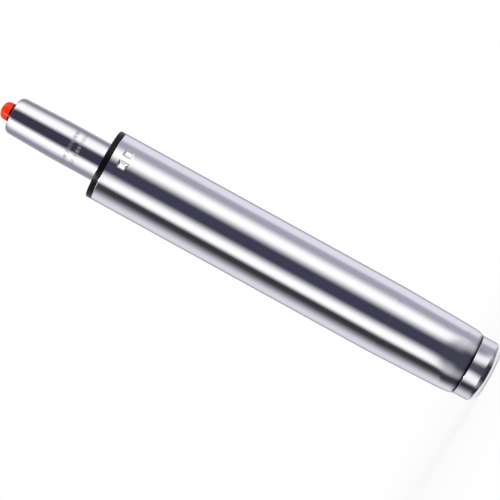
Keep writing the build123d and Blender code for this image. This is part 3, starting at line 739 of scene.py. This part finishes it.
def grimed(add, finishes, slot, grime, start, end):
    """A slot's finish whose colour turns to a painted shade colour from a start height to an end height, in
    metres.
    """
    shader = slot_finish(add, finishes, slot)
    base_colour = shader.inputs["Base Color"]
    place = add("TexCoord").outputs["Object"]
    height = add("SeparateXYZ", {"Vector": place}).outputs["Z"]
    # Painted shade: from the start height to the end height the colour turns to the shade colour, and it
    # stays so past the end.
    amount = add("MapRange", {"Value": height, "From Min": start, "From Max": end}, **SOFT)
    dirty = add("Mix", {
        "Factor": amount, "A": base_colour.links[0].from_socket, "B": grime}, data_type="RGBA")
    shader.id_data.links.new(used_output(dirty), base_colour)
    return shader


def finish_kept_nodes(finishes):
    """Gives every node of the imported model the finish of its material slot."""
    made = {slot: slot_material(finishes, slot) for slot in FINISHES}
    for entry in frame["record"]["subparts"]:
        node = frame["nodes"][entry["node"]]
        for material_slot in node.material_slots:
            material_slot.material = made[entry["material_slot"]]


# The walls of the studio, as seen from the column: lights and flags stand round it as tall upright strips.
# Each has the two angles between which it is even, measured from the camera towards the camera's right, and
# its colour. Between two strips the light changes softly. Above and below they bend round, so that a
# rounded end mirrors them as straight bands.
# Left gap, edge, far wall and light, the camera's flag, right light, far wall, edge and gap.
UPPER_STRIPS = [
    (-180, -170, "#26252C"), (-154, -146, "#A8A6B2"), (-128, -110, "#8E8C9A"), (-63, -47.5, "#FFFFFF"),
    (-18.5, 22, "#3A3749"), (52, 69, "#FFFFFF"), (122, 130, "#85838F"), (146, 154, "#B6B4C1"),
    (170, 180, "#26252C"),
]
# Left back wall, far wall, flag and light, the camera's flag, right light, wall, far wall and back wall.
LOWER_STRIPS = [
    (-180, -165, "#8E8D99"), (-138, -125, "#D6D5DF"), (-77, -67.5, "#38373D"), (-48.5, -41, "#FFFFFF"),
    (-11, 12.5, "#3E3D50"), (43.5, 51, "#FFFFFF"), (82, 93, "#A2A0AE"), (114, 134, "#DEDCE8"),
    (165, 180, "#8E8D99"),
]
# The same, with one more flag after the right light.
PLINTH_STRIPS = [
    (-180, -165, "#8E8D99"), (-138, -125, "#D6D5DF"), (-79, -73, "#34333B"), (-43, -31, "#FCFCFC"),
    (-6, 8, "#55535F"), (33, 40, "#F6F6F7"), (64, 71, "#8A8896"), (82, 93, "#A2A0AE"),
    (114, 134, "#DEDCE8"), (165, 180, "#8E8D99"),
]
HUB_STRIPS = [
    (-180, -165, "#8E8D99"), (-140, -128, "#D6D5DF"), (-86, -75, "#37363D"), (-53, -50, "#B8B8BC"),
    (-13, 13, "#424150"), (60, 68, "#CCCCD1"), (82, 95, "#A2A0AE"), (118, 134, "#DCDAE6"),
    (165, 180, "#8E8D99"),
]
FOOT_STRIPS = [
    (-180, -168, "#8E8D99"), (-150, -130, "#D6D5DF"), (-84, -73, "#37363D"), (-54, -50, "#9B9BA1"),
    (-22, 24, "#434250"), (61, 65, "#BABAC0"), (79, 92, "#A2A0AE"), (128, 150, "#DAD8E4"),
    (168, 180, "#8E8D99"),
]
# The rows of strips from the ceiling down, with the elevations in degrees between which each takes over.
# The straight tube mirrors elevations from 4 down to -3 degrees, the cup's ring those about -5, the hub
# taper those from -5.5 to -7.2, and the rolled-in foot all those below.
STRIP_ROWS = [
    (4.75, 4.35, LOWER_STRIPS),
    (-3.6, -4.3, PLINTH_STRIPS),
    (-5.05, -5.08, LOWER_STRIPS),
    (-6.6, -7.3, HUB_STRIPS),
    (-9, -15, FOOT_STRIPS),
]
# All in degrees. The walls dim between these elevations, over these tilts of the surface that mirrors them.
LOW_WALL = (-12, -19)
LOW_WALL_TILTS = (-4, -34)
LOW_WALL_LEAST = 0.5
# The ceiling is dark.
CEILING_TILTS = (62, 72)
CEILING_LEAST = 0.08
# Straight ahead the white floor starts at the first tilt, and from the second angle aside at the second.
FLOOR_ASIDE = (15, 50)
FLOOR_TILTS = (-45, -29)
FLOOR_SOFTNESS = 0.06
# Close to the column the floor lies in its shade.
SHADE_TILTS = (-62, -77)
FLOOR_COLOUR = "#E9E9ED"
SHADE_COLOUR = "#8C8C94"
# The angle of each lamp from the camera towards its right, its width in metres, and whether gloss shows it.
LAMPS = [("lamp_left", -53, 0.3, True), ("lamp_right", 55, 1.0, False)]


def strip_ramp(add, position, strips):
    """The colour of a row of strips at a position from 0 to 1 round the column."""
    ramp = add("ValToRGB", {"Fac": position})
    ramp.color_ramp.interpolation = "EASE"
    elements = ramp.color_ramp.elements
    while len(elements) > 1:
        elements.remove(elements[-1])
    edges = [(0.5 + angle / 360, tint) for start, end, tint in strips for angle in (start, end)]
    for number, (place, hex_colour) in enumerate(edges):
        element = elements.new(place) if number else elements[0]
        element.position = place
        element.color = linear(hex_colour) + [1]
    return ramp.outputs["Color"]


def heights(start, end):
    """The heights of unit vectors at two elevations in degrees, as the range that a Map Range node reads."""
    return {"From Min": sin(radians(start)), "From Max": sin(radians(end))}


def make_world(studio):
    """A white background for the camera, and the studio's strips and white floor for everything else.

    The floor is dark near the column and white further out. Its edges lie where a surface of one tilt
    mirrors them all round: that surface faces halfway between the mirrored direction and the camera's.
    """
    world = bpy.data.worlds.new("studio")
    bpy.context.scene.world = world
    world.use_nodes = True
    world.node_tree.nodes.clear()
    add = partial(add_node, world.node_tree)
    direction = add("TexCoord").outputs["Generated"]
    turned = add("VectorRotate", {"Vector": direction, "Angle": -studio.camera_side}, rotation_type="Z_AXIS")
    height = add("SeparateXYZ", {"Vector": turned}).outputs["Z"]
    halfway = add("VectorMath", {0: turned, 1: (1, 0, 0)}, operation="ADD")
    halfway = add("VectorMath", {0: halfway}, operation="NORMALIZE")
    facing = add("SeparateXYZ", {"Vector": halfway}).outputs
    tilt = facing["Z"]
    side = add("Math", {0: facing["Y"], 1: facing["X"]}, operation="ARCTAN2")
    # Halfway directions turn half as far as the strips, so half a turn of them spans a ramp from 0 to 1.
    position = add("Math", {0: side, 1: 1 / pi, 2: 0.5}, operation="MULTIPLY_ADD")
    walls = strip_ramp(add, position, UPPER_STRIPS)
    for start, end, strips in STRIP_ROWS:
        reached = add("MapRange", {"Value": height, **heights(start, end)}, **SOFT)
        walls = add("Mix", {
            "Factor": reached, "A": walls, "B": strip_ramp(add, position, strips)}, data_type="RGBA")
    is_low = add("MapRange", {"Value": height, **heights(*LOW_WALL)}, **SOFT)
    low, ceiling = (
        add("MapRange", {"Value": tilt, **heights(*tilts), "To Min": 1, "To Max": least}, **SOFT)
        for tilts, least in ((LOW_WALL_TILTS, LOW_WALL_LEAST), (CEILING_TILTS, CEILING_LEAST)))
    low_wall = add("Mix", {"Factor": is_low, "A": "#FFFFFF", "B": low}, data_type="RGBA")
    for dimming in (low_wall, ceiling):
        walls = add("Mix", {"Factor": 1, "A": walls, "B": dimming}, data_type="RGBA", blend_type="MULTIPLY")
    aside = add("Math", {0: side}, operation="ABSOLUTE")
    floor_edge = add("MapRange", {
        "Value": aside, "From Min": radians(FLOOR_ASIDE[0]), "From Max": radians(FLOOR_ASIDE[1]),
        "To Min": sin(radians(FLOOR_TILTS[0])), "To Max": sin(radians(FLOOR_TILTS[1]))})
    below = add("Math", {0: tilt, 1: floor_edge}, operation="SUBTRACT")
    on_floor = add("MapRange", {"Value": below, "From Max": -FLOOR_SOFTNESS})
    shaded = add("MapRange", {"Value": tilt, **heights(*SHADE_TILTS)}, **SOFT)
    floor = add("Mix", {"Factor": shaded, "A": FLOOR_COLOUR, "B": SHADE_COLOUR}, data_type="RGBA")
    room = add("Mix", {"Factor": on_floor, "A": walls, "B": floor}, data_type="RGBA")
    room_light = add("Background", {"Color": room, "Strength": studio.room_light})
    white = add("Background", {"Color": "#FFFFFF", "Strength": 1})
    is_camera = add("LightPath").outputs["Is Camera Ray"]
    seen = add("MixShader", {0: is_camera, 1: room_light, 2: white})
    add("OutputWorld", {"Surface": seen})


def pale_paper(add, studio):
    """Pale matt paper. Near the column it keeps the shadow, and further out the camera sees plain white."""
    paper = add("BsdfDiffuse", {"Color": "#F3F3F3"})
    glow = add("Emission", {"Color": "#FFFFFF", "Strength": 1})
    place = add("TexCoord").outputs["Object"]
    away = add("VectorMath", {0: place}, operation="LENGTH")
    amount = add("MapRange", {
        "Value": away, "From Min": studio.shadow_start, "From Max": studio.shadow_end,
        "To Min": studio.floor_glow, "To Max": 1}, **SOFT)
    is_camera = add("LightPath").outputs["Is Camera Ray"]
    seen = add("Math", {0: is_camera, 1: amount}, operation="MULTIPLY")
    return add("MixShader", {0: seen, 1: paper, 2: glow})


def make_floor(studio):
    """A round paper floor, which chrome doesn't mirror, because the world has its own."""
    # The floor lies this far below the part, so that the two never show through each other.
    gap = 0.1 * MM
    outline = np.array([(studio.floor_radius, -gap)])
    rim = turned_points(outline, even_angles(FLOOR_COLUMNS)).reshape(-1, 3)
    paper = new_material("pale_paper", pale_paper, studio)
    floor = new_surface("floor", rim, [list(range(len(rim)))], paper)
    floor.visible_glossy = False


def make_lamp(studio, name, side, width, in_gloss):
    """An upright soft lamp that faces the middle of the column, side being its angle from the camera."""
    light = bpy.data.lights.new(name, "AREA")
    light.shape = "RECTANGLE"
    light.size = width
    light.size_y = studio.lamp_tall
    light.energy = studio.lamp_power
    lamp = new_object(name, light)
    around = studio.camera_side + radians(side)
    outward = Vector((cos(around), sin(around), 0))
    place = outward * studio.lamp_distance + UP * studio.lamp_height
    lamp.location = place
    lamp.rotation_euler = (place - UP * studio.aim_height).to_track_quat("Z", "Y").to_euler()
    lamp.visible_glossy = in_gloss
    lamp.visible_camera = False


def make_camera(studio):
    """The camera, level with the column's lower half and rolled so that the column leans to the left."""
    data = bpy.data.cameras.new("camera")
    data.lens = studio.lens
    camera = new_object("camera", data)
    outward = Vector((cos(studio.camera_side), sin(studio.camera_side), 0))
    rightward = UP.cross(outward)
    place = outward * studio.camera_distance + UP * studio.camera_height
    aim = UP * studio.aim_height - rightward * studio.aim_side
    level = (place - aim).to_track_quat("Z", "Y").to_matrix().to_4x4()
    camera.matrix_world = Matrix.Translation(place) @ level @ Matrix.Rotation(-studio.camera_roll, 4, "Z")
    bpy.context.scene.camera = camera


class GASSPRING_OT_column_tube(Operator):
    """Make the chromed column tube with its taper, rolled-in foot and dents"""
    bl_idname = "gas_spring.column_tube"
    bl_label = "Column tube"

    def execute(self, context):
        sizes = context.scene.column_sizes
        finishes = context.scene.gas_spring_finishes
        # The chrome is given painted shade at the seam above its foot.
        chrome = new_material("hard_chrome_with_oiled_seam", grimed, finishes, "chromed_steel",
                              finishes.old_oil, sizes.foot + sizes.oil_start, sizes.foot + sizes.oil_end)
        make_column_tube(sizes, chrome)
        return {"FINISHED"}


class GASSPRING_OT_bottom_cup(Operator):
    """Make the pressed cup that closes the column's foot"""
    bl_idname = "gas_spring.bottom_cup"
    bl_label = "Bottom cup"

    def execute(self, context):
        settings = context.scene
        make_bottom_cup(settings.cup_sizes, slot_material(settings.gas_spring_finishes, "pressed_steel"))
        return {"FINISHED"}


class GASSPRING_OT_gas_cylinder(Operator):
    """Make the polished gas cylinder with its seat taper and etched dashes"""
    bl_idname = "gas_spring.gas_cylinder"
    bl_label = "Gas cylinder"

    def execute(self, context):
        settings = context.scene
        steel = new_material("marked_polished_steel", etched_cylinder_steel, settings.gas_spring_finishes,
                             settings.cylinder_sizes, settings.gas_spring_studio.camera_side)
        make_gas_cylinder(settings.cylinder_sizes, settings.column_sizes.taper_angle, steel)
        return {"FINISHED"}


class GASSPRING_OT_release_button(Operator):
    """Make the moulded release button"""
    bl_idname = "gas_spring.release_button"
    bl_label = "Release button"

    def execute(self, context):
        sizes = context.scene.button_sizes
        finishes = context.scene.gas_spring_finishes
        # The orange acetal is given painted shade round the button's foot.
        plastic = new_material("greased_orange_acetal", grimed, finishes, "orange_plastic",
                               finishes.old_grease, sizes.dip + sizes.dip_fade, sizes.dip)
        make_release_button(sizes, plastic)
        return {"FINISHED"}


class GASSPRING_OT_kept_pieces(Operator):
    """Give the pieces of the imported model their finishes"""
    bl_idname = "gas_spring.kept_pieces"
    bl_label = "Finishes of the other pieces"

    def execute(self, context):
        finish_kept_nodes(context.scene.gas_spring_finishes)
        return {"FINISHED"}


class GASSPRING_OT_stage(Operator):
    """Make the floor, the lights and the camera"""
    bl_idname = "gas_spring.stage"
    bl_label = "Stage"

    def execute(self, context):
        studio = context.scene.gas_spring_studio
        make_camera(studio)
        make_world(studio)
        make_floor(studio)
        for lamp in LAMPS:
            make_lamp(studio, *lamp)
        context.scene.view_settings.view_transform = "Standard"
        return {"FINISHED"}


OPERATORS = (
    GASSPRING_OT_kept_pieces,
    GASSPRING_OT_column_tube,
    GASSPRING_OT_bottom_cup,
    GASSPRING_OT_gas_cylinder,
    GASSPRING_OT_release_button,
    GASSPRING_OT_stage,
)


class GASSPRING_PT_sidebar(Panel):
    """Lists the gas spring's pieces in the 3D view's sidebar"""
    bl_label = "Gas spring"
    bl_idname = "GASSPRING_PT_sidebar"
    bl_space_type = "VIEW_3D"
    bl_region_type = "UI"
    bl_category = "Gas spring"

    def draw(self, context):
        for operator in OPERATORS:
            self.layout.operator(operator.bl_idname)


SETTINGS = {
    "column_sizes": ColumnSizes,
    "cup_sizes": CupSizes,
    "cylinder_sizes": CylinderSizes,
    "button_sizes": ButtonSizes,
    "gas_spring_finishes": Finishes,
    "gas_spring_studio": Studio,
}


def register():
    for name, group in SETTINGS.items():
        bpy.utils.register_class(group)
        setattr(bpy.types.Scene, name, PointerProperty(type=group))
    for operator in OPERATORS:
        bpy.utils.register_class(operator)
    bpy.utils.register_class(GASSPRING_PT_sidebar)


def unregister():
    bpy.utils.unregister_class(GASSPRING_PT_sidebar)
    for operator in reversed(OPERATORS):
        bpy.utils.unregister_class(operator)
    for name, group in reversed(SETTINGS.items()):
        delattr(bpy.types.Scene, name)
        bpy.utils.unregister_class(group)


def main():
    register()
    bpy.ops.gas_spring.kept_pieces()
    bpy.ops.gas_spring.column_tube()
    bpy.ops.gas_spring.bottom_cup()
    bpy.ops.gas_spring.gas_cylinder()
    bpy.ops.gas_spring.release_button()
    bpy.ops.gas_spring.stage()


if __name__ == "__main__":
    main()
